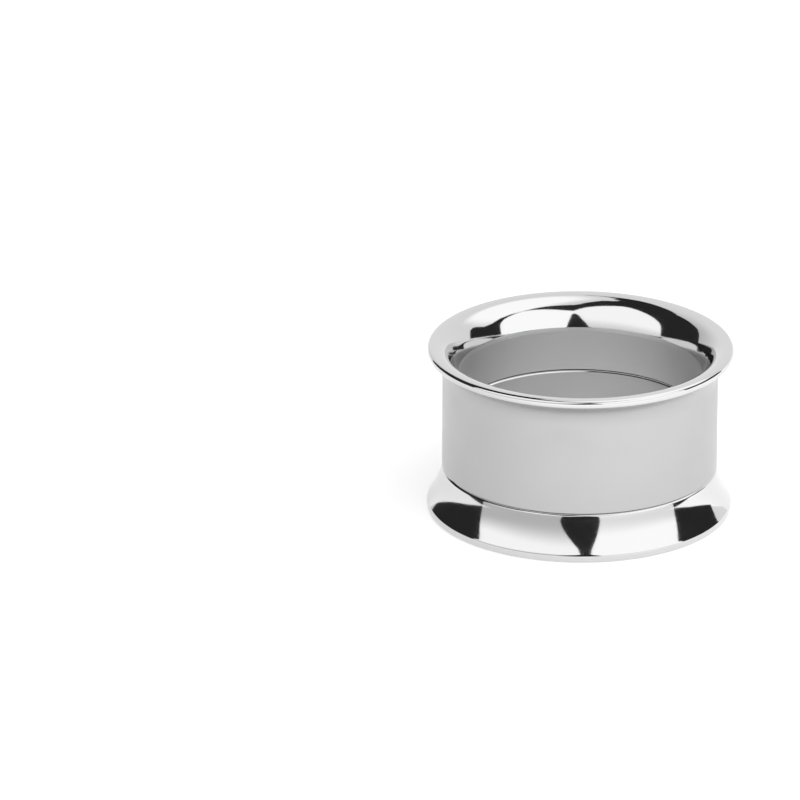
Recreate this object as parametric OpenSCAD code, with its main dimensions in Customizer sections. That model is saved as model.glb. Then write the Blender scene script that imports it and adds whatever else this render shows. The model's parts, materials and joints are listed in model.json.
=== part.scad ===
// Double-flared ear tunnel in two pieces: a barrel with a fixed flare, and a flare that screws into it.
// It stands on the screw flare's rim. The origin is the middle of that rim's plane, +Z is the bore's axis.

/* [Barrel] */
// Diameter of the barrel, the tunnel's gauge
barrel_d = 20; // [12:0.5:30]
// Thickness of the wall between the barrel's outside and the bore
wall_t = 1.2; // [1.1:0.05:2]
// Length of the barrel's straight outside, where the ear lobe sits
seat_length = 6.55; // [5.5:0.05:14]
// Bevel on the barrel's open end, outside
barrel_bevel = 0.04; // [0.02:0.01:0.1]

/* [Flares] */
// How far both flares stand out past the barrel
flare_out = 1.1; // [0.9:0.05:1.8]
// Height of the fixed flare, from its rim to the straight barrel
fixed_flare_h = 2.6; // [2:0.05:3.5]
// Radius of the fixed flare's round lip
fixed_lip_r = 0.4; // [0.3:0.01:0.9]
// Height of the straight band between that lip and the rim's edge
fixed_band_h = 0.05; // [0.05:0.05:0.3]
// Height of the screw flare, from its rim to the seam
screw_flare_h = 3.35; // [2.6:0.05:4.5]
// Radius of the screw flare's round lip
screw_lip_r = 0.4; // [0.3:0.01:0.9]
// Height of the straight band between that lip and the rim's edge
screw_band_h = 0.2; // [0.05:0.05:0.3]
// Height of the conical shoulder under the seam
shoulder_h = 0.45; // [0.2:0.05:0.8]
// Slope of the shoulder, and of the sweep where it leaves it, in degrees off the axis
shoulder_slope = 11; // [0:1:12]
// Bevel on the shoulder at the seam
shoulder_bevel = 0.13; // [0.05:0.01:0.2]

/* [Rims and mouths] */
// Width of the flat ring on each rim
rim_width = 0.7; // [0.3:0.05:1]
// Radius of the rims' outer edge
rim_edge_r = 0.27; // [0.1:0.01:0.4]
// Depth of the trumpet-shaped mouth in each flare
mouth_depth = 2.05; // [1.6:0.05:2.5]
// Radius of the trumpet curve from the rim to the throat
mouth_curve_r = 3.6; // [3:0.05:12]
// Width of the narrow step from each throat to the bore
throat_step_w = 0.1; // [0.05:0.05:0.4]
// Depth of that step
throat_step_h = 0.05; // [0.05:0.05:0.4]

/* [Threaded stub] */
// Length of the stub above the seam
stub_length = 3.75; // [2:0.05:4.5]
// Thickness of the stub's wall
stub_wall_t = 0.6; // [0.4:0.05:0.65]
// Clearance between the stub and the barrel, on the radius
thread_clearance = 0.05; // [0.02:0.01:0.1]
// Gap at the seam between the barrel and the shoulder
seam_gap = 0.05; // [0.02:0.01:0.1]
// Gap over the stub's end inside the barrel
end_gap = 0.1; // [0.05:0.01:0.3]
// Bevel on the stub's end, at the bore
stub_bevel = 0.15; // [0.05:0.01:0.25]
// Lead-in bevel on the stub's end and in the barrel's open end
lead_in = 0.2; // [0.05:0.01:0.25]

/* [Hidden] */
$fn = 180;

STEEL = [0.78, 0.78, 0.79];
STEEL_MIRROR = [0.85, 0.85, 0.86];
// How far a cut reaches past the face that it opens
past = 1;
// How many degrees a round slice laps past the point where it touches its neighbour
lap = 5;
// How far a slice reaches past the face that it touches, so that the two cross and leave no sliver
bite = 0.0002;

barrel_r = barrel_d / 2;
bore_r = barrel_r - wall_t;
rim_r = barrel_r + flare_out;
throat_r = bore_r + throat_step_w;
mouth_r = rim_r - rim_edge_r - rim_width;
stub_r = bore_r + stub_wall_t;
thread_r = stub_r + thread_clearance;
stub_top = screw_flare_h + stub_length;
barrel_bottom = screw_flare_h + seam_gap;
total_h = barrel_bottom + seat_length + fixed_flare_h;

// Point at a distance and an angle from a centre
function polar(centre, radius, angle) = centre + radius * [cos(angle), sin(angle)];

// Angle at which a direction points
function heading(direction) = atan2(direction[1], direction[0]);

// Slice of a disc between two angles less than 110 degrees apart
module disc_slice(centre, radius, from_angle, to_angle) {
    reach = 2 * radius;
    intersection() {
        translate(centre) circle(r = radius);
        polygon([centre, polar(centre, reach, from_angle), polar(centre, reach, to_angle)]);
    }
}

// Half section of a flare, its rim at z = 0, with the neck above it up to z = top.
// A hollow curve sweeps out from the neck at z = start into the round lip, with a straight band under it.
module flare_section(start, slope, lip_r, band_h, top, bevel) {
    // The neck has the sweep's slope, and the barrel's radius at its top
    start_r = barrel_r + (top - bevel - start) * tan(slope);
    edge_c = [rim_r - rim_edge_r, rim_edge_r];
    lip_c = [rim_r - lip_r, rim_edge_r + band_h];
    band_r = rim_r - bite;
    // The sweep starts at the neck and touches the lip's circle
    across = start_r - lip_c[0];
    up = start - lip_c[1];
    sweep_r = (across * across + up * up - lip_r * lip_r)
        / (2 * (lip_r - across * cos(slope) - up * sin(slope)));
    sweep_c = polar([start_r, start], sweep_r, slope);
    touch = heading(sweep_c - lip_c);
    difference() {
        union() {
            polygon([
                [0, 0], [edge_c[0], 0], edge_c, [band_r, edge_c[1]], [band_r, lip_c[1]], lip_c,
                polar(lip_c, lip_r, touch), [start_r, start], [barrel_r, top - bevel],
                [barrel_r - bevel, top], [0, top]
            ]);
            disc_slice(edge_c, rim_edge_r, -90, lap);
            disc_slice(lip_c, lip_r, -lap, touch + lap);
        }
        disc_slice(sweep_c, sweep_r + bite, 180 + slope - lap, 180 + touch + lap);
    }
}

// Half section of a mouth's hollow, from the rim at z = 0 down to the throat and the step to the bore
module mouth_section() {
    rim_p = [mouth_r, 0];
    throat_p = [throat_r, mouth_depth];
    // The curve's centre lies on the metal's side of the chord from the rim to the throat
    half = (throat_p - rim_p) / 2;
    away = sqrt(mouth_curve_r * mouth_curve_r - half * half);
    curve_c = rim_p + half + away * [half[1], -half[0]] / norm(half);
    difference() {
        polygon([
            [0, -past], [mouth_r, -past], rim_p, throat_p, [bore_r, mouth_depth + throat_step_h],
            [0, mouth_depth + throat_step_h]
        ]);
        disc_slice(curve_c, mouth_curve_r + bite, heading(throat_p - curve_c) - lap,
            heading(rim_p - curve_c) + lap);
    }
}

// Tube with the fixed flare on top, bored out for the stub from below
module barrel() {
    neck_top = total_h - barrel_bottom;
    socket_top = stub_top + end_gap;
    color(STEEL) rotate_extrude() difference() {
        translate([0, total_h]) mirror([0, 1])
            flare_section(fixed_flare_h, 0, fixed_lip_r, fixed_band_h, neck_top, barrel_bevel);
        translate([0, total_h]) mirror([0, 1]) mouth_section();
        translate([0, barrel_bottom - past]) square([bore_r, total_h]);
        translate([0, barrel_bottom - past]) square([thread_r, socket_top - barrel_bottom + past]);
        polygon([
            [0, barrel_bottom - past], [thread_r + lead_in + past, barrel_bottom - past],
            [thread_r, barrel_bottom + lead_in], [0, barrel_bottom + lead_in]
        ]);
    }
}

// Removable flare with the threaded stub that goes up inside the barrel
module screw_flare() {
    color(STEEL_MIRROR) rotate_extrude() difference() {
        union() {
            flare_section(screw_flare_h - shoulder_h, shoulder_slope, screw_lip_r, screw_band_h,
                screw_flare_h, shoulder_bevel);
            polygon([
                [0, screw_flare_h - shoulder_h], [stub_r, screw_flare_h - shoulder_h],
                [stub_r, stub_top - lead_in], [stub_r - lead_in, stub_top], [0, stub_top]
            ]);
        }
        mouth_section();
        square([bore_r, stub_top + past]);
        polygon([
            [0, stub_top - stub_bevel], [bore_r, stub_top - stub_bevel],
            [bore_r + stub_bevel, stub_top], [bore_r + stub_bevel, stub_top + past], [0, stub_top + past]
        ]);
    }
}

barrel();
screw_flare();
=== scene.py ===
"""Screw-fit ear tunnel in polished and satin steel, standing on a white table in a light tent.

Both pieces are turned on a lathe, so each is one half section turned about Z. Profiles and studio are
in millimetres. A mesh is scaled to metres when it is finished.
"""
import json
import logging
import math
from dataclasses import dataclass
from enum import Enum

import bmesh
import bpy
import numpy as np
from mathutils import Matrix, Vector


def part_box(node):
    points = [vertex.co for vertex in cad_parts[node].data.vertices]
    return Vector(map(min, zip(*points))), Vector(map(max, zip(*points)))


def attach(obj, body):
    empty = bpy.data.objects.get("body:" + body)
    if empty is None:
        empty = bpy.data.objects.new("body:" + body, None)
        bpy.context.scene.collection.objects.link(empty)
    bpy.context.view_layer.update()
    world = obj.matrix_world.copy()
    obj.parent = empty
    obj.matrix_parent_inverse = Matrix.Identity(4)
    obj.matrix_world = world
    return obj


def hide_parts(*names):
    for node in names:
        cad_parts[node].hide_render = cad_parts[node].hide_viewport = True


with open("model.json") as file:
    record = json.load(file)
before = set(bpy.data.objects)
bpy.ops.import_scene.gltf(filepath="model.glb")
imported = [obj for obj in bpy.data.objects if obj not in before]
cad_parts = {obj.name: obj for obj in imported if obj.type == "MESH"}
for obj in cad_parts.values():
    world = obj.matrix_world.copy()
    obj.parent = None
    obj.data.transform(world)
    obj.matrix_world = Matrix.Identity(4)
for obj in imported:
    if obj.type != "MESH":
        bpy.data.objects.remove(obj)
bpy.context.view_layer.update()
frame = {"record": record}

LOG = logging.getLogger("ear_tunnel")
MM = 0.001
ORIGIN = Vector((0.0, 0.0, 0.0))
UP = Vector((0.0, 0.0, 1.0))


def linear(colour: str) -> tuple[float, float, float, float]:
    """Turns an sRGB hex colour into linear RGBA.

    Args:
        colour: The colour as "#RRGGBB".

    Returns:
        Linear red, green and blue, and an alpha of 1.
    """
    channels = [int(colour[i:i + 2], 16) / 255 for i in (1, 3, 5)]
    curved = [c / 12.92 if c <= 0.04045 else ((c + 0.055) / 1.055) ** 2.4 for c in channels]
    return (curved[0], curved[1], curved[2], 1.0)


def heading(degrees: float) -> Vector:
    """Gives the direction in the half section that points off the axis and up by an angle."""
    angle = math.radians(degrees)
    return Vector((math.cos(angle), math.sin(angle)))


def add_node(tree: bpy.types.NodeTree, kind: str, inputs: dict, **settings) -> bpy.types.Node:
    """Adds a node with its settings, its constants and its links.

    Args:
        tree: The node tree that gets the node.
        kind: The node's type, such as ShaderNodeTexNoise.
        inputs: A constant, or the socket to link from, for each input's name or number.
        **settings: The node's own properties.

    Returns:
        The new node.
    """
    node = tree.nodes.new(kind)
    for name, value in settings.items():
        setattr(node, name, value)
    for name, value in inputs.items():
        if isinstance(value, bpy.types.NodeSocket):
            tree.links.new(value, node.inputs[name])
        else:
            node.inputs[name].default_value = value
    return node


def empty_material(name: str) -> tuple[bpy.types.Material, bpy.types.NodeTree]:
    """Makes a material whose node tree holds no node.

    Args:
        name: The material's name.

    Returns:
        The material and its node tree.
    """
    material = bpy.data.materials.new(name)
    material.use_nodes = True
    material.node_tree.nodes.clear()
    return material, material.node_tree


@dataclass(frozen=True)
class TurnedSteel:
    """316L stainless steel, turned on a lathe and then finished.

    A metal has no colour of its own but the tint of its reflections. The finish sets how sharp they are:
    a buffed face mirrors the room, and a satin face smears it over a few degrees.
    """

    name: str
    reflectance: str
    # Roughness where the face is cleanest and where it is most wiped
    roughness: tuple[float, float]
    # Distance between the lathe's feed lines, and their depth, in millimetres
    line_spacing: float
    line_depth: float
    # Width of the faint cloudy patches that wiping leaves, in millimetres
    patch_size: float = 2.5
    # Range in which the product of the lines' and the patches' noise mostly lies
    noise_range: tuple[float, float] = (0.12, 0.42)

    def material(self) -> bpy.types.Material:
        """Builds the finish: feed lines round the axis, and patches in the gloss.

        Returns:
            The material.
        """
        material, tree = empty_material(self.name)
        place = add_node(tree, "ShaderNodeTexCoord", {}).outputs["Object"]
        axes = add_node(tree, "ShaderNodeSeparateXYZ", {"Vector": place}).outputs
        flat = add_node(tree, "ShaderNodeCombineXYZ", {"X": axes["X"], "Y": axes["Y"]}).outputs["Vector"]
        radius = add_node(tree, "ShaderNodeVectorMath", {0: flat}, operation="LENGTH").outputs["Value"]
        # A feed line has one radius and one height all the way round
        section = add_node(tree, "ShaderNodeCombineXYZ", {"X": radius, "Y": axes["Z"]}).outputs["Vector"]
        # One noise cell covers about one line
        lines = add_node(tree, "ShaderNodeTexNoise", {
            "Vector": section, "Scale": 1 / (self.line_spacing * MM), "Detail": 2.0, "Roughness": 0.6,
        }, noise_dimensions="2D").outputs["Fac"]
        patches = add_node(tree, "ShaderNodeTexNoise", {
            "Vector": place, "Scale": 1 / (self.patch_size * MM), "Detail": 3.0, "Roughness": 0.55,
        }).outputs["Fac"]
        wiped = add_node(tree, "ShaderNodeMath", {0: lines, 1: patches},
                         operation="MULTIPLY").outputs["Value"]
        gloss = add_node(tree, "ShaderNodeMapRange", {
            "Value": wiped, "From Min": self.noise_range[0], "From Max": self.noise_range[1],
            "To Min": self.roughness[0], "To Max": self.roughness[1],
        }).outputs["Result"]
        grooves = add_node(tree, "ShaderNodeBump", {
            "Height": lines, "Strength": 1.0, "Distance": self.line_depth * MM,
        }).outputs["Normal"]
        steel = add_node(tree, "ShaderNodeBsdfPrincipled", {
            "Base Color": linear(self.reflectance), "Metallic": 1.0, "Roughness": gloss, "Normal": grooves,
        })
        add_node(tree, "ShaderNodeOutputMaterial", {"Surface": steel.outputs["BSDF"]})
        return material


class Finish(Enum):
    """The finishes that the lathe hand gives to this tunnel."""

    # Buffed on a cloth wheel: a mirror, with hardly any line left
    BUFFED = TurnedSteel("steel_316l_buffed", "#D0D0D0", (0.05, 0.09), 0.06, 0.00001)
    # Rubbed with a fine abrasive pad: an even satin, its lines finer than the picture shows
    SATIN = TurnedSteel("steel_316l_satin", "#B5B5B5", (0.3, 0.4), 0.05, 0.00012)
    # Bored out and blasted matt, rougher than the outside
    BORED = TurnedSteel("steel_316l_bored_matt", "#C8C8C8", (0.42, 0.52), 0.07, 0.0002)
    # Reamed and blasted matt, a little duller, as in the bore of the stub
    REAMED = TurnedSteel("steel_316l_reamed_matt", "#BDBDBD", (0.42, 0.52), 0.07, 0.0002)
    # Cut and left as the tool made it, as on the thread: lines that are seen up close
    AS_TURNED = TurnedSteel("steel_316l_as_turned", "#CACACA", (0.16, 0.26), 0.09, 0.0004)


@dataclass(frozen=True)
class Zone:
    """A part of a piece's surface that has its own finish, as a box in the half section, in millimetres."""

    finish: Finish
    radii: tuple[float, float]
    heights: tuple[float, float]

    def holds(self, radius: float, height: float) -> bool:
        """Says whether a point of the half section lies in the zone."""
        return (self.radii[0] <= radius <= self.radii[1]
                and self.heights[0] <= height <= self.heights[1])


class SectionPen:
    """Draws a half section as one chain of edges in the XZ plane, and turns it about Z."""

    # Steps in a full turn, and the widest step of an arc, in degrees
    TURN_STEPS = 320
    ARC_STEP = 3.5
    # Radius that is left on an edge by deburring, and the steps across it
    BURR_RADIUS = 0.03
    BURR_STEPS = 3
    # Points of the chain that are closer than this are one point
    MERGE_GAP = 0.0005

    def __init__(self, start: tuple[float, float]) -> None:
        """Sets the pen down.

        Args:
            start: The first point, as radius and height.
        """
        self.bm = bmesh.new()
        self.tip = self.bm.verts.new((start[0], 0.0, start[1]))
        self.deburred: list[bmesh.types.BMVert] = []

    def line(self, *points: tuple[float, float], deburr: bool = True) -> None:
        """Draws straight on through some points.

        Args:
            *points: The points, as radius and height.
            deburr: Whether the corner at each point is an edge that was deburred.
        """
        for point in points:
            self.tip = bmesh.ops.extrude_vert_indiv(self.bm, verts=[self.tip])["verts"][0]
            self.tip.co = (point[0], 0.0, point[1])
            if deburr:
                self.deburred.append(self.tip)

    def arc(self, centre: Vector, degrees: float) -> None:
        """Draws an arc about a centre.

        Args:
            centre: The centre, as radius and height.
            degrees: How far the arc goes, positive from +X towards +Z.
        """
        self.tip = bmesh.ops.spin(
            self.bm, geom=[self.tip], cent=(centre[0], 0.0, centre[1]), axis=(0.0, -1.0, 0.0),
            angle=math.radians(degrees), steps=max(2, math.ceil(abs(degrees) / self.ARC_STEP)),
            use_duplicate=False, use_merge=False,
        )["geom_last"][0]

    def turned(self) -> bmesh.types.BMesh:
        """Closes the chain, deburrs its edges and turns it about Z.

        Returns:
            The turned shell, in millimetres.
        """
        bm = self.bm
        bmesh.ops.remove_doubles(bm, verts=bm.verts[:], dist=self.MERGE_GAP)
        corners = [corner for corner in self.deburred if corner.is_valid]
        bmesh.ops.bevel(
            bm, geom=corners, offset=self.BURR_RADIUS, offset_type="OFFSET", segments=self.BURR_STEPS,
            profile=0.5, affect="VERTICES", clamp_overlap=True, material=-1,
        )
        bmesh.ops.spin(
            bm, geom=bm.verts[:] + bm.edges[:], cent=ORIGIN, axis=UP, angle=math.tau,
            steps=self.TURN_STEPS, use_merge=True, use_duplicate=False,
        )
        bmesh.ops.remove_doubles(bm, verts=bm.verts[:], dist=self.MERGE_GAP)
        return bm


def finished_piece(bm: bmesh.types.BMesh, name: str, zones: list[Zone]) -> bpy.types.Object:
    """Turns a shell in millimetres into a piece in metres, with its finishes.

    Args:
        bm: The closed shell, which is used up.
        name: The piece's name.
        zones: Its finishes. The first zone that holds a face gives the face its finish.

    Returns:
        The piece, at the origin.
    """
    finishes = list(dict.fromkeys(zone.finish for zone in zones))
    for face in bm.faces:
        centre = face.calc_center_median()
        radius = math.hypot(centre.x, centre.y)
        zone = next(z for z in zones if z.holds(radius, centre.z))
        face.material_index = finishes.index(zone.finish)
        face.smooth = True
    bmesh.ops.scale(bm, vec=(MM, MM, MM), verts=bm.verts[:])
    bmesh.ops.recalc_face_normals(bm, faces=bm.faces[:])
    mesh = bpy.data.meshes.new(name)
    bm.to_mesh(mesh)
    bm.free()
    for finish in finishes:
        mesh.materials.append(bpy.data.materials.get(finish.value.name) or finish.value.material())
    piece = bpy.data.objects.new(name, mesh)
    bpy.context.scene.collection.objects.link(piece)
    # Long faces keep their own direction, so that the small roundings beside them don't bend reflections
    weighted = piece.modifiers.new("true_reflections", "WEIGHTED_NORMAL")
    weighted.mode = "FACE_AREA"
    return piece


EVERYWHERE = (-math.inf, math.inf)
# How far a zone's edge stays off the faces beside it, in millimetres
ZONE_GAP = 0.005


@dataclass
class TunnelSizes:
    """Sizes that both pieces share, in millimetres, from the frame's boxes and mounts."""

    rim_r: float
    total_h: float
    barrel_bottom: float
    stub_top: float
    barrel_r: float
    bore_r: float
    rim_edge_r: float = 0.27
    rim_width: float = 0.7
    mouth_depth: float = 2.05
    mouth_curve_r: float = 3.6
    # Radius that buffing left between the flat ring and the mouth's curve
    mouth_edge_r: float = 1.3
    # Slope under which the mouth's curve gets straighter, and its slope at the throat,
    # in degrees off the axis
    mouth_join_slope: float = 25.0
    throat_slope: float = 15.5
    # Length over which the matt bore tapers in from the throat
    throat_taper: float = 0.3
    seam_gap: float = 0.05
    end_gap: float = 0.1

    @classmethod
    def from_frame(cls) -> "TunnelSizes":
        """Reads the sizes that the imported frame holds.

        Returns:
            The tunnel's sizes.
        """
        barrel_low, barrel_high = (corner / MM for corner in map(Vector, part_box("barrel")))
        _, stub_high = (corner / MM for corner in map(Vector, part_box("screw_flare")))
        mounts = {mount["name"]: mount["dims"] for mount in frame["record"]["mounts"]}
        return cls(
            rim_r=barrel_high.x, total_h=barrel_high.z, barrel_bottom=barrel_low.z,
            stub_top=stub_high.z, barrel_r=mounts["lobe_seat"]["r_mm"], bore_r=mounts["through_bore"]["r_mm"],
        )

    @property
    def mouth_r(self) -> float:
        """Radius of the rim's inner edge."""
        return self.rim_r - self.rim_edge_r - self.rim_width

    def place(self, point: Vector, up: float) -> Vector:
        """Puts a point of a flare into the tunnel.

        Args:
            point: Its radius, and its height above the flare's own rim.
            up: 1 for the flare that stands on its rim, or -1 for the one whose rim is on top.

        Returns:
            Its radius and height in the tunnel.
        """
        return Vector((point.x, point.y if up > 0 else self.total_h - point.y))


@dataclass
class FlareShape:
    """A flare's outside, from its rim at height 0 up to the neck, in millimetres."""

    sizes: TunnelSizes
    lip_r: float
    # Height of the straight band between the rim's edge and the lip
    band_h: float
    # Height at which the hollow sweep leaves the neck, and its slope there, in degrees off the axis
    sweep_start: float
    slope: float
    # Height at which the neck has the barrel's radius
    neck_top: float

    def __post_init__(self) -> None:
        """Works out the circle of the sweep, which starts at the neck and touches the lip's circle."""
        s = self.sizes
        start_r = s.barrel_r + (self.neck_top - self.sweep_start) * math.tan(math.radians(self.slope))
        start = Vector((start_r, self.sweep_start))
        self.lip_centre = Vector((s.rim_r - self.lip_r, s.rim_edge_r + self.band_h))
        reach = start - self.lip_centre
        outward = heading(self.slope)
        sweep_r = (reach.length_squared - self.lip_r ** 2) / (2 * (self.lip_r - reach.dot(outward)))
        self.sweep_centre = start + sweep_r * outward
        towards = self.sweep_centre - self.lip_centre
        self.touch = math.degrees(math.atan2(towards.y, towards.x))

    def draw(self, pen: SectionPen, up: float) -> None:
        """Draws the rim's outer edge, the band, the lip and the sweep, from the flat rim to the neck.

        Args:
            pen: The pen, which stands at the outer end of the flat rim.
            up: 1 for a flare that stands on its rim, or -1 for one whose rim is on top.
        """
        s = self.sizes
        pen.arc(s.place(Vector((s.rim_r - s.rim_edge_r, s.rim_edge_r)), up), up * 90)
        pen.line(s.place(Vector((s.rim_r, self.lip_centre.y)), up), deburr=False)
        pen.arc(s.place(self.lip_centre, up), up * self.touch)
        pen.arc(s.place(self.sweep_centre, up), -up * (self.touch - self.slope))


@dataclass
class MouthShape:
    """A trumpet mouth, from the rim at height 0 to the matt bore, in millimetres."""

    sizes: TunnelSizes
    # Width of the step that the solid has at the bore
    step_w: float = 0.1

    def __post_init__(self) -> None:
        """Works out the curve's circle, the one that it goes on with, and the one that rounds it over."""
        s = self.sizes
        rim = Vector((s.mouth_r, 0.0))
        half = (Vector((s.bore_r + self.step_w, s.mouth_depth)) - rim) / 2
        # The curve's centre lies on the metal's side of the chord from the rim to the throat
        away = math.sqrt(s.mouth_curve_r ** 2 - half.length_squared)
        self.curve_centre = rim + half + away * Vector((half.y, -half.x)).normalized()
        # The small circle touches the ring's plane, and the curve's circle from inside
        apart = s.mouth_curve_r - s.mouth_edge_r
        sideways = math.sqrt(apart ** 2 - (self.curve_centre.y - s.mouth_edge_r) ** 2)
        self.edge_centre = Vector((self.curve_centre.x - sideways, s.mouth_edge_r))
        inward = self.curve_centre - self.edge_centre
        self.edge_slope = math.degrees(math.atan2(inward.y, inward.x))
        # The straighter circle goes on from the point with the join's slope down to the throat
        join, end = heading(s.mouth_join_slope), heading(s.throat_slope)
        meet = self.curve_centre - s.mouth_curve_r * join
        reach = (s.mouth_depth - meet.y) / (join.y - end.y)
        self.end_centre = meet + reach * join
        self.throat = self.end_centre - reach * end

    @property
    def ring_r(self) -> float:
        """Radius at which the flat ring starts."""
        return self.edge_centre.x

    def bore_zone(self, finish: Finish) -> Zone:
        """Gives the bore its own finish, up to the throat."""
        return Zone(finish, (0.0, self.throat.x - ZONE_GAP), EVERYWHERE)

    def draw(self, pen: SectionPen, up: float) -> None:
        """Draws the taper, the curve and its rounding, from the bore to the flat ring.

        Args:
            pen: The pen, which stands at the bore's end of the taper.
            up: 1 for the mouth in the foot, or -1 for the one on top.
        """
        s = self.sizes
        pen.line(s.place(self.throat, up))
        pen.arc(s.place(self.end_centre, up), up * (s.mouth_join_slope - s.throat_slope))
        pen.arc(s.place(self.curve_centre, up), up * (self.edge_slope - s.mouth_join_slope))
        pen.arc(s.place(self.edge_centre, up), up * (90 - self.edge_slope))


@dataclass
class Thread:
    """A fine single-start thread: a ridge with a flat crest that winds round a core, in millimetres."""

    name: str
    core_r: float
    crest_r: float
    foot: float
    top: float
    pitch: float = 0.7
    # Width of the ridge at its foot and at its crest, as shares of the pitch
    root_share: float = 0.72
    crest_share: float = 0.14
    # How far the ridge's foot is sunk into the core
    sink: float = 0.04
    steps_per_turn: int = 120
    # Share of a turn over which each end of the ridge runs out
    run_out: float = 0.3

    def build(self) -> bpy.types.Object:
        """Winds the ridge's section up the axis, and lets its ends run out into the core.

        Returns:
            The ridge, a closed shell.
        """
        inward = math.copysign(1.0, self.core_r - self.crest_r)
        root_r = self.core_r + inward * self.sink
        root, crest = (self.pitch * share / 2 for share in (self.root_share, self.crest_share))
        start = self.foot + root
        turns = (self.top - root - start) / self.pitch
        bm = bmesh.new()
        section = [bm.verts.new((r, 0.0, start + z)) for r, z in (
            (root_r, -root), (self.crest_r, -crest), (self.crest_r, crest), (root_r, root))]
        loop = [bm.edges.new((section[i - 1], section[i])) for i in range(len(section))]
        bmesh.ops.spin(
            bm, geom=section + loop, cent=ORIGIN, axis=UP,
            dvec=(0.0, 0.0, self.pitch / self.steps_per_turn), angle=math.tau * turns,
            steps=round(turns * self.steps_per_turn), use_merge=False, use_duplicate=False,
        )
        bmesh.ops.holes_fill(bm, edges=[e for e in bm.edges if e.is_boundary])
        for vert in bm.verts:
            radius = math.hypot(vert.co.x, vert.co.y)
            wound = (vert.co.z - start) / self.pitch
            fade = max(0.0, min(1.0, wound / self.run_out, (turns - wound) / self.run_out))
            wanted = root_r + (radius - root_r) * fade
            vert.co.x *= wanted / radius
            vert.co.y *= wanted / radius
        return finished_piece(bm, self.name, [Zone(Finish.AS_TURNED, EVERYWHERE, EVERYWHERE)])


@dataclass
class ScrewFlare:
    """The removable flare: a mirror outside and in the mouth, a matt bore, and a threaded stub on top."""

    sizes: TunnelSizes
    flare_h: float = 3.35
    lip_r: float = 0.4
    band_h: float = 0.2
    shoulder_h: float = 0.45
    shoulder_slope: float = 13.0
    shoulder_bevel: float = 0.13
    stub_r: float = 9.4
    thread_depth: float = 0.3
    # Plain lengths of the stub below and above its thread
    relief: float = 0.3
    pilot: float = 0.25
    end_bevel: float = 0.15

    def build(self) -> list[bpy.types.Object]:
        """Turns the flare with its stub, and winds the stub's thread.

        Returns:
            The pieces, which ride on the screw flare's body.
        """
        s = self.sizes
        core_r = self.stub_r - self.thread_depth
        shoulder_top = self.flare_h - self.shoulder_bevel
        shape = FlareShape(s, self.lip_r, self.band_h, self.flare_h - self.shoulder_h, self.shoulder_slope,
                           shoulder_top)
        mouth = MouthShape(s)
        pen = SectionPen((mouth.ring_r, 0.0))
        pen.line((s.rim_r - s.rim_edge_r, 0.0), deburr=False)
        shape.draw(pen, 1.0)
        pen.line(
            (s.barrel_r, shoulder_top), (s.barrel_r - self.shoulder_bevel, self.flare_h),
            (core_r, self.flare_h), (core_r, s.stub_top - self.end_bevel),
            (core_r - self.end_bevel / 2, s.stub_top), (s.bore_r + self.end_bevel, s.stub_top),
            (s.bore_r, s.stub_top - self.end_bevel), (s.bore_r, s.mouth_depth + s.throat_taper),
        )
        mouth.draw(pen, 1.0)
        flare = finished_piece(pen.turned(), "screw_flare_turned", [
            mouth.bore_zone(Finish.REAMED),
            Zone(Finish.AS_TURNED, (core_r - self.end_bevel, core_r + ZONE_GAP), (self.flare_h, s.stub_top)),
            Zone(Finish.BUFFED, EVERYWHERE, EVERYWHERE),
        ])
        thread = Thread("stub_thread", core_r, self.stub_r, self.flare_h + self.relief,
                        s.stub_top - self.pilot)
        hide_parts("screw_flare")
        return [flare, thread.build()]


@dataclass
class Barrel:
    """The barrel: a satin tube with a matt bore, a buffed fixed flare on top, and a threaded socket."""

    sizes: TunnelSizes
    flare_h: float = 2.6
    lip_r: float = 0.4
    band_h: float = 0.05
    end_bevel: float = 0.04
    socket_r: float = 9.45
    thread_depth: float = 0.25
    lead_in: float = 0.1
    # Distance from the upper rim down to the satin, which ends under the lip
    satin_from_rim: float = 0.75
    # Plain lengths of the socket below and above its thread
    mouth_relief: float = 0.15
    end_relief: float = 0.3

    def build(self) -> list[bpy.types.Object]:
        """Turns the barrel, and winds the thread in its socket.

        Returns:
            The pieces, which ride on the barrel's body.
        """
        s = self.sizes
        groove_r = self.socket_r + self.thread_depth
        socket_top = s.stub_top + s.end_gap
        shape = FlareShape(s, self.lip_r, self.band_h, self.flare_h, 0.0, self.flare_h)
        mouth = MouthShape(s)
        pen = SectionPen((mouth.ring_r, s.total_h))
        pen.line((s.rim_r - s.rim_edge_r, s.total_h), deburr=False)
        shape.draw(pen, -1.0)
        pen.line(
            (s.barrel_r, s.barrel_bottom + self.end_bevel), (s.barrel_r - self.end_bevel, s.barrel_bottom),
            (groove_r + self.lead_in, s.barrel_bottom), (groove_r, s.barrel_bottom + self.lead_in),
            (groove_r, socket_top), (s.bore_r, socket_top),
            (s.bore_r, s.total_h - s.mouth_depth - s.throat_taper),
        )
        mouth.draw(pen, -1.0)
        barrel = finished_piece(pen.turned(), "barrel_turned", [
            mouth.bore_zone(Finish.BORED),
            Zone(Finish.AS_TURNED, (0.0, groove_r + self.lead_in), (s.barrel_bottom, socket_top)),
            Zone(Finish.SATIN, (s.barrel_r - self.end_bevel, s.rim_r - self.lip_r / 4),
                 (s.barrel_bottom, s.total_h - self.satin_from_rim)),
            Zone(Finish.BUFFED, EVERYWHERE, EVERYWHERE),
        ])
        thread = Thread("socket_thread", groove_r, self.socket_r, s.barrel_bottom + self.mouth_relief,
                        socket_top - self.end_relief)
        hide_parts("barrel")
        return [barrel, thread.build()]


class Seen(Enum):
    """Which rays a thing of the studio meets."""

    EVERYWHERE = "everywhere"
    IN_REFLECTIONS = "in reflections"


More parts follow.
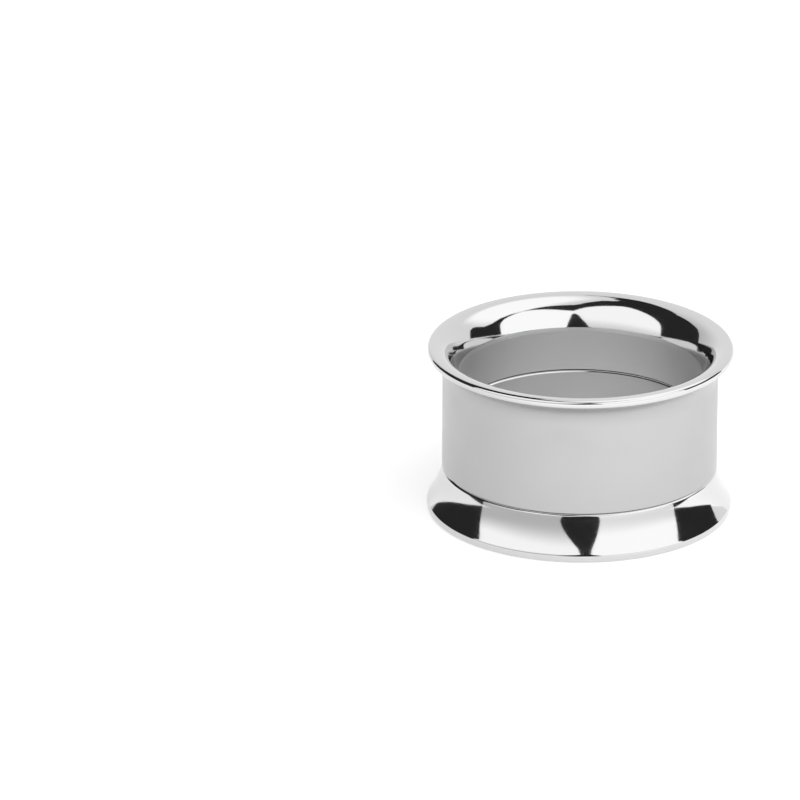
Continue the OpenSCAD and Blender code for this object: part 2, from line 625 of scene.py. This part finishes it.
def stage_object(bm: bmesh.types.BMesh, name: str, material: bpy.types.Material, seen: Seen) -> None:
    """Puts a thing that isn't part of the tunnel into the studio.

    Args:
        bm: Its mesh in millimetres, which is used up.
        name: Its name.
        material: Its material.
        seen: Which rays it meets.
    """
    bmesh.ops.scale(bm, vec=(MM, MM, MM), verts=bm.verts[:])
    mesh = bpy.data.meshes.new(name)
    bm.to_mesh(mesh)
    bm.free()
    mesh.materials.append(material)
    thing = bpy.data.objects.new(name, mesh)
    bpy.context.scene.collection.objects.link(thing)
    if seen is Seen.IN_REFLECTIONS:
        thing.visible_camera = thing.visible_diffuse = thing.visible_shadow = False
        thing.visible_transmission = thing.visible_volume_scatter = False


@dataclass
class Table:
    """A matt white board under the tunnel, with painted light: it glows, which takes most shadows away, and
    glows more to the front right, where it stands in for the softbox's light on the table.
    """

    radius: float = 1500.0
    # Kept grey, and the painted glow makes up the rest of its white, so that contact shadows stay faint
    colour: str = "#C8C8C8"
    # Painted light that the board gives off at the back left and at the front right, a pool of light in place
    # of the right softbox lighting the table
    glow: tuple[float, float] = (0.49, 0.86)
    # Where it starts and ends to rise, as the sum of the ways to the right and to the front
    painted_glow_reach: tuple[float, float] = (-25.0, 45.0)
    # Width of the faint clouds in the board's matt face, and the face's roughness in and between them
    cloud_size: float = 40.0
    roughness: tuple[float, float] = (0.85, 1.0)

    def build(self) -> None:
        """Lays the board, its face at height 0."""
        material, tree = empty_material("board_with_painted_glow")
        place = add_node(tree, "ShaderNodeTexCoord", {}).outputs["Object"]
        clouds = add_node(tree, "ShaderNodeTexNoise", {
            "Vector": place, "Scale": 1 / (self.cloud_size * MM), "Detail": 2.0}).outputs["Fac"]
        rough = add_node(tree, "ShaderNodeMapRange", {
            "Value": clouds, "To Min": self.roughness[0], "To Max": self.roughness[1],
        }).outputs["Result"]
        face = add_node(tree, "ShaderNodeBsdfDiffuse", {
            "Color": linear(self.colour), "Roughness": rough}).outputs["BSDF"]
        # Painted light: the board glows more towards the front right, standing in for the softbox's light on
        # the table, and fills in the shadows near the tunnel
        along = add_node(tree, "ShaderNodeVectorMath", {0: place, 1: (1.0, -1.0, 0.0)},
                         operation="DOT_PRODUCT").outputs["Value"]
        glow = add_node(tree, "ShaderNodeMapRange", {
            "Value": along, "From Min": self.painted_glow_reach[0] * MM, "From Max": self.painted_glow_reach[1] * MM,
            "To Min": self.glow[0], "To Max": self.glow[1],
        }, interpolation_type="SMOOTHSTEP").outputs["Result"]
        light = add_node(tree, "ShaderNodeEmission", {"Strength": glow}).outputs["Emission"]
        lit = add_node(tree, "ShaderNodeAddShader", {0: face, 1: light}).outputs["Shader"]
        add_node(tree, "ShaderNodeOutputMaterial", {"Surface": lit})
        bm = bmesh.new()
        bmesh.ops.create_circle(bm, cap_ends=True, segments=128, radius=self.radius)
        stage_object(bm, "table", material, Seen.EVERYWHERE)


@dataclass
class Card:
    """An upright card of the tent, bent along the tent's oval wall.

    Azimuth 0 is towards the camera, and it grows to the picture's right, in degrees.
    """

    name: str
    # Radiance of its face low down and high up, and the heights between which it changes
    glow: tuple[float, float]
    glow_heights: tuple[float, float]
    # Azimuth, foot and top of the card at each point where its outline bends
    stations: tuple[tuple[float, float, float], ...]
    # Half the length and half the depth of the oval wall
    half_oval: tuple[float, float] = (140.0, 70.0)
    # How far the card hangs in front of the wall
    in_front: float = 0.0

    def build(self) -> None:
        """Bends a grid along the wall and cuts it to the card's outline."""
        material, tree = empty_material(f"{self.name}_cloth")
        place = add_node(tree, "ShaderNodeTexCoord", {}).outputs["Object"]
        height = add_node(tree, "ShaderNodeSeparateXYZ", {"Vector": place}).outputs["Z"]
        glow = add_node(tree, "ShaderNodeMapRange", {
            "Value": height, "From Min": self.glow_heights[0] * MM, "From Max": self.glow_heights[1] * MM,
            "To Min": self.glow[0], "To Max": self.glow[1],
        }, interpolation_type="SMOOTHSTEP").outputs["Result"]
        light = add_node(tree, "ShaderNodeEmission", {"Strength": glow})
        add_node(tree, "ShaderNodeOutputMaterial", {"Surface": light.outputs["Emission"]})
        azimuths, feet, tops = zip(*self.stations)
        span = azimuths[-1] - azimuths[0]
        bm = bmesh.new()
        bmesh.ops.create_grid(bm, x_segments=math.ceil(span), y_segments=1, size=0.5)
        for vert in bm.verts:
            azimuth = azimuths[0] + (vert.co.x + 0.5) * span
            heights = tops if vert.co.y > 0 else feet
            across, ahead = math.sin(math.radians(azimuth)), math.cos(math.radians(azimuth))
            away = 1 / math.hypot(across / self.half_oval[0], ahead / self.half_oval[1]) - self.in_front
            vert.co = (away * across, -away * ahead, np.interp(azimuth, azimuths, heights))
        stage_object(bm, self.name, material, Seen.IN_REFLECTIONS)


@dataclass
class Studio:
    """The light tent: two white walls with round tops, a dark slot between them, and dark cloth behind.

    The tunnel mirrors it, so its outlines are those that the photograph's reflections show.
    """

    # Radiance of the dark cloth
    dark: float = 0.026
    # Radiance of the room low down on the left and high up on the right, the direction along which it
    # rises, and how far along it does
    room: tuple[float, float] = (1.02, 1.5)
    room_direction: tuple[float, float, float] = (0.5, 0.0, 0.8)
    room_rise: tuple[float, float] = (0.71, 0.85)
    # Share of that light which is left at the picture's left end, and where the end starts and is full
    left_share: float = 0.6
    left_end: tuple[float, float] = (-0.2, -1.0)
    # The lamp over the table: its width and height in metres, and its power in watts
    lamp_width: float = 0.6
    lamp_height: float = 0.6
    lamp_power: float = 0.6

    def build(self) -> None:
        """Hangs the cards, and adds the room's light and the fill light."""
        dark = {"glow": (self.dark, self.dark), "glow_heights": (0.0, 1.0)}
        for card in (
            Card("left_wall", (0.68, 1.42), (10.0, 50.0), (
                (-80.7, 1, 60), (-80, 1, 78), (-75, 1, 104), (-69.5, 1, 122), (-63, 1, 136), (-56, 1, 144),
                (-48, 1, 142), (-38, 1, 131), (-28, 2, 122), (-18.5, 2, 113), (-9, 3, 103), (0, 4, 91),
                (8, 4, 76))),
            Card("right_wall", (1.1, 1.5), (5.0, 30.0), (
                (8, 4, 76), (18, 4, 82), (27, 3, 89), (36, 2, 97), (45, 1, 104), (53, 1, 110), (62, 1, 114),
                (68, 1, 110), (75, 1, 97), (79.2, 1, 84), (80, 28, 76), (81, 55, 67))),
            Card("slot", stations=(
                (-14.2, 6, 7), (-11.5, 6, 17), (-8.1, 6, 26), (-5, 6, 34), (-1.1, 6, 44), (1.6, 6, 53),
                (5, 6, 62), (8.6, 6, 62), (9.7, 6, 53), (10.8, 6, 44), (13.5, 6, 27), (16, 6, 7)),
                 in_front=1.0, **dark),
            Card("left_foot_shadow", (0.35, 0.35), (0.0, 1.0), (
                (-55, 5, 5.6), (-40, 4.6, 6.4), (-13, 4.6, 7)), in_front=1.0),
            Card("left_cloth", stations=(
                (-132.8, 1, 12), (-131.5, 0, 34), (-129, 0, 54), (-127, 0, 74), (-126, 0, 101),
                (-124, 0, 130), (-119, 0, 400), (-105, 0, 523), (-90, 0, 590), (-80.7, 0, 590),
                (-80.6, 20, 590), (-75, 20, 583), (-60, 20, 520), (-45, 20, 400), (-30, 20, 289),
                (-20, 20, 228), (-10, 20, 172), (0, 20, 133), (8, 20, 123)), in_front=-2.0, **dark),
            Card("right_cloth", stations=(
                (8, 20, 123), (20, 20, 124), (38, 20, 127), (54, 20, 123), (65, 20, 117), (76, 20, 111),
                (79.2, 20, 105), (79.3, 0, 105), (84, 0, 98), (91, 0, 75), (100, 0, 62), (111, 0, 60),
                (116, 0, 55), (119, 0, 47), (120, 0, 36), (120.4, 0, 20)), in_front=-2.0, **dark),
            Card("canopy", stations=(
                (-179, 117, 124), (-176, 121, 132), (-171, 124, 142), (-164, 119, 174), (-156, 123, 200),
                (-148, 129, 270), (-140, 128, 310), (-130, 124, 370), (-119, 124, 400)),
                 in_front=-2.0, **dark),
        ):
            card.build()
        self.build_room()

    def build_room(self) -> None:
        """Gives the room its pale light, and adds a soft light from above for the table."""
        world = bpy.data.worlds.new("white_room")
        world.use_nodes = True
        tree = world.node_tree
        tree.nodes.clear()
        direction = add_node(tree, "ShaderNodeTexCoord", {}).outputs["Generated"]
        # The room gets brighter upwards, and more so to the right
        share = add_node(tree, "ShaderNodeVectorMath", {0: direction, 1: self.room_direction},
                         operation="DOT_PRODUCT").outputs["Value"]
        glow = add_node(tree, "ShaderNodeMapRange", {
            "Value": share, "From Min": self.room_rise[0], "From Max": self.room_rise[1],
            "To Min": self.room[0], "To Max": self.room[1],
        }, interpolation_type="SMOOTHSTEP").outputs["Result"]
        across = add_node(tree, "ShaderNodeSeparateXYZ", {"Vector": direction}).outputs["X"]
        dimmed = add_node(tree, "ShaderNodeMapRange", {
            "Value": across, "From Min": self.left_end[1], "From Max": self.left_end[0],
            "To Min": self.left_share,
        }, interpolation_type="SMOOTHSTEP").outputs["Result"]
        glow = add_node(tree, "ShaderNodeMath", {0: glow, 1: dimmed}, operation="MULTIPLY").outputs["Value"]
        light = add_node(tree, "ShaderNodeBackground", {"Color": linear("#FFFFFF"), "Strength": glow})
        add_node(tree, "ShaderNodeOutputWorld", {"Surface": light.outputs["Background"]})
        bpy.context.scene.world = world
        data = bpy.data.lights.new("table_fill", "AREA")
        data.shape, data.size = "DISK", self.lamp_width
        data.energy = self.lamp_power
        lamp = bpy.data.objects.new("table_fill", data)
        lamp.location = (0.0, 0.0, self.lamp_height)
        lamp.visible_glossy = False
        bpy.context.scene.collection.objects.link(lamp)


@dataclass
class PhotoCamera:
    """A long lens at the photograph's angle. Its place was found by fitting both rims and both seams."""

    # Distance to the anchor, a point on the axis, in millimetres
    distance: float = 690.06
    anchor_height: float = 8.153
    elevation: float = 21.72
    # How far the picture is turned clockwise, in degrees
    roll: float = 0.60
    # Focal length in pixels, and the anchor's place in the 800 x 800 picture
    focal_px: float = 9500.0
    picture_px: float = 800.0
    anchor_px: tuple[float, float] = (579.952, 401.362)
    sensor: float = 36.0
    # Nearest and farthest depth that is drawn, in metres
    clip: tuple[float, float] = (0.01, 10.0)

    def build(self) -> None:
        """Makes the scene's camera."""
        data = bpy.data.cameras.new("photo_camera")
        data.sensor_width = self.sensor
        data.lens = self.focal_px / self.picture_px * self.sensor
        data.clip_start, data.clip_end = self.clip
        camera = bpy.data.objects.new("photo_camera", data)
        tilt = math.radians(self.elevation)
        back = Vector((0.0, -math.cos(tilt), math.sin(tilt)))
        right, down = (p - self.picture_px / 2 for p in self.anchor_px)
        aim = (-back).to_track_quat("-Z", "Y").to_matrix()
        turn = Matrix.Rotation(math.radians(self.roll), 3, "Z")
        yaw = Matrix.Rotation(math.atan2(right, self.focal_px), 3, "Y")
        pitch = Matrix.Rotation(math.atan2(down, self.focal_px), 3, "X")
        camera.matrix_world = Matrix.Translation(
            (Vector((0.0, 0.0, self.anchor_height)) + self.distance * back) * MM
        ) @ (aim @ turn @ yaw @ pitch).to_4x4()
        bpy.context.scene.collection.objects.link(camera)
        bpy.context.scene.camera = camera


def main() -> None:
    """Builds the camera, the studio and the tunnel, and reports each piece."""
    logging.basicConfig(level=logging.INFO, format="%(name)s: %(message)s")
    PhotoCamera().build()
    Table().build()
    Studio().build()
    # The light values above are meant for a plain screen curve, on which 1 is white
    bpy.context.scene.view_settings.view_transform = "Standard"
    sizes = TunnelSizes.from_frame()
    for assembly, body, slot in (
        (ScrewFlare(sizes), "screw_flare", "polished_steel"),
        (Barrel(sizes), "barrel", "satin_steel"),
    ):
        for piece in assembly.build():
            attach(piece, body)
            LOG.info("%s rides on %s, %d faces", piece.name, body, len(piece.data.polygons))


if __name__ == "__main__":
    main()
